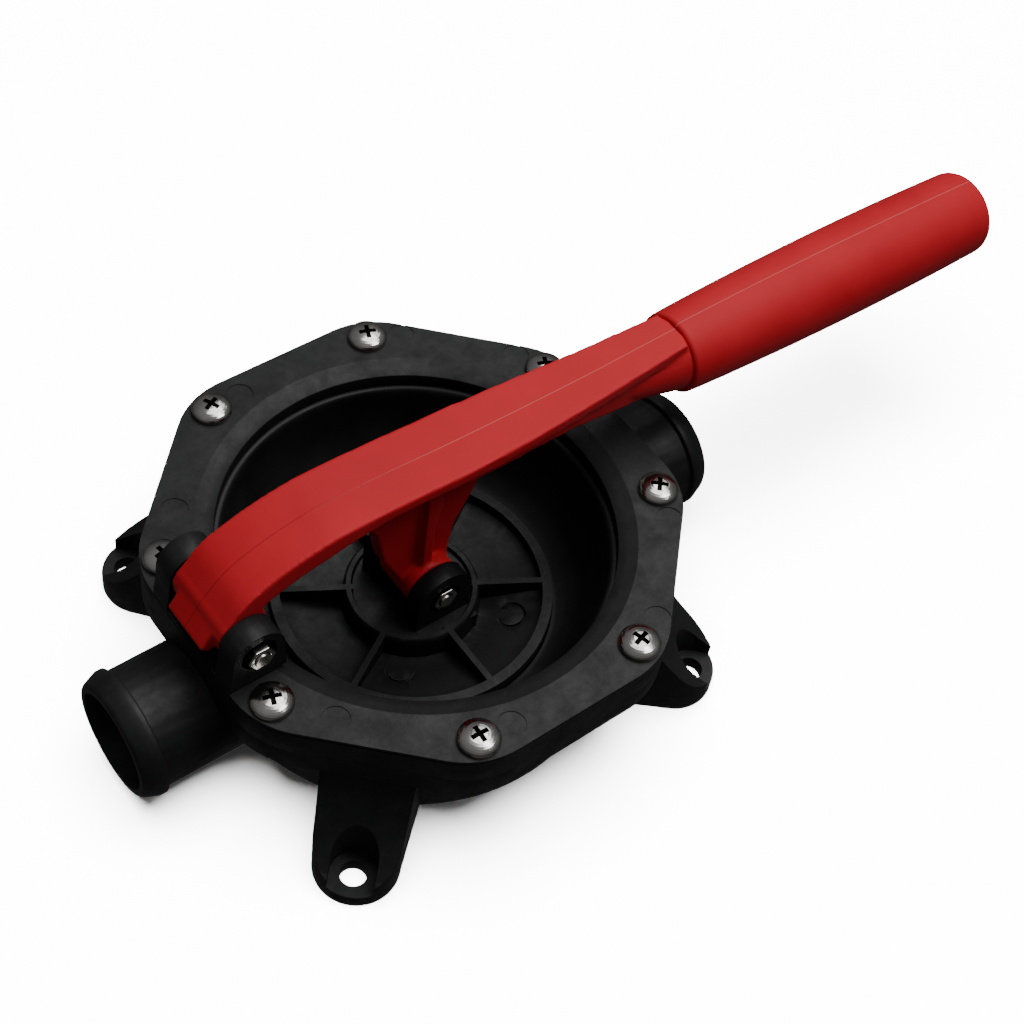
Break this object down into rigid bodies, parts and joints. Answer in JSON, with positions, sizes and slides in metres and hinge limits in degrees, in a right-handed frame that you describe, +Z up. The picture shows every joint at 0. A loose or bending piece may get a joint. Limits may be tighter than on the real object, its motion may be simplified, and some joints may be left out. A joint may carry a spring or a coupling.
{
  "type": "manual bilge pump",
  "caption": "Hand-lever diaphragm pump: round bowl on mounting feet, opposed hose tubes with flap valves, clamp ring, rubber diaphragm and a long lever.",
  "frame": {"origin": "centre of the bowl on the mounting plane", "axes": "+Z up from the mounting plane; +X along the two hose tubes, from inlet to outlet and from the lever's hinge towards its grip"},
  "size_m": [0.3403, 0.1606, 0.0926],
  "materials": {
    "body_plastic": "satin glass-filled moulding",
    "rubber": "smooth moulded rubber",
    "red_plastic": "satin moulded red",
    "stainless": "bright stainless",
    "nylon": "natural nylon"
  },
  "bodies": {
    "housing": {"pump_body": "body_plastic", "clamp_ring": "body_plastic", "clamp_screws": "stainless", "clamp_nuts": "stainless", "diaphragm": "rubber", "hinge_bolt": "stainless", "hinge_nut": "stainless", "hinge_washer": "stainless", "inlet_valve_seat": "body_plastic", "inlet_valve_pin": "stainless", "outlet_valve_seat": "body_plastic", "outlet_valve_pin": "stainless"},
    "hand_lever": {"lever": "red_plastic", "grip": "red_plastic", "hinge_bush": "nylon", "clevis_bush": "nylon"},
    "plate_stack": {"diaphragm_plate": "body_plastic", "backing_plate": "body_plastic", "plate_bolt": "stainless", "plate_bolt_washer": "stainless", "clevis_bolt": "stainless", "clevis_nut": "stainless", "clevis_washer": "stainless"},
    "inlet_flap": {"inlet_valve_flap": "rubber"},
    "outlet_flap": {"outlet_valve_flap": "rubber"}
  },
  "joints": [
    {"name": "lever_hinge", "type": "hinge", "parent": "housing", "child": "hand_lever", "pos_m": [-0.0703, 0, 0.069], "axis": [0, -1, 0], "range_deg": [0, 26], "deforming": ["diaphragm"]},
    {"name": "plate_pivot", "type": "hinge", "parent": "hand_lever", "child": "plate_stack", "pos_m": [0.0014, 0, 0.0335], "axis": [0, -1, 0], "range_deg": [-26, 0]},
    {"name": "inlet_flap_hinge", "type": "hinge", "parent": "housing", "child": "inlet_flap", "pos_m": [-0.0869, 0, 0.0389], "axis": [0, -1, 0], "range_deg": [0, 32]},
    {"name": "outlet_flap_hinge", "type": "hinge", "parent": "housing", "child": "outlet_flap", "pos_m": [0.0711, 0, 0.0389], "axis": [0, -1, 0], "range_deg": [0, 32]}
  ],
  "couplings": [
    {"joint": "plate_pivot", "follows": "lever_hinge", "ratio": -1}
  ]
}
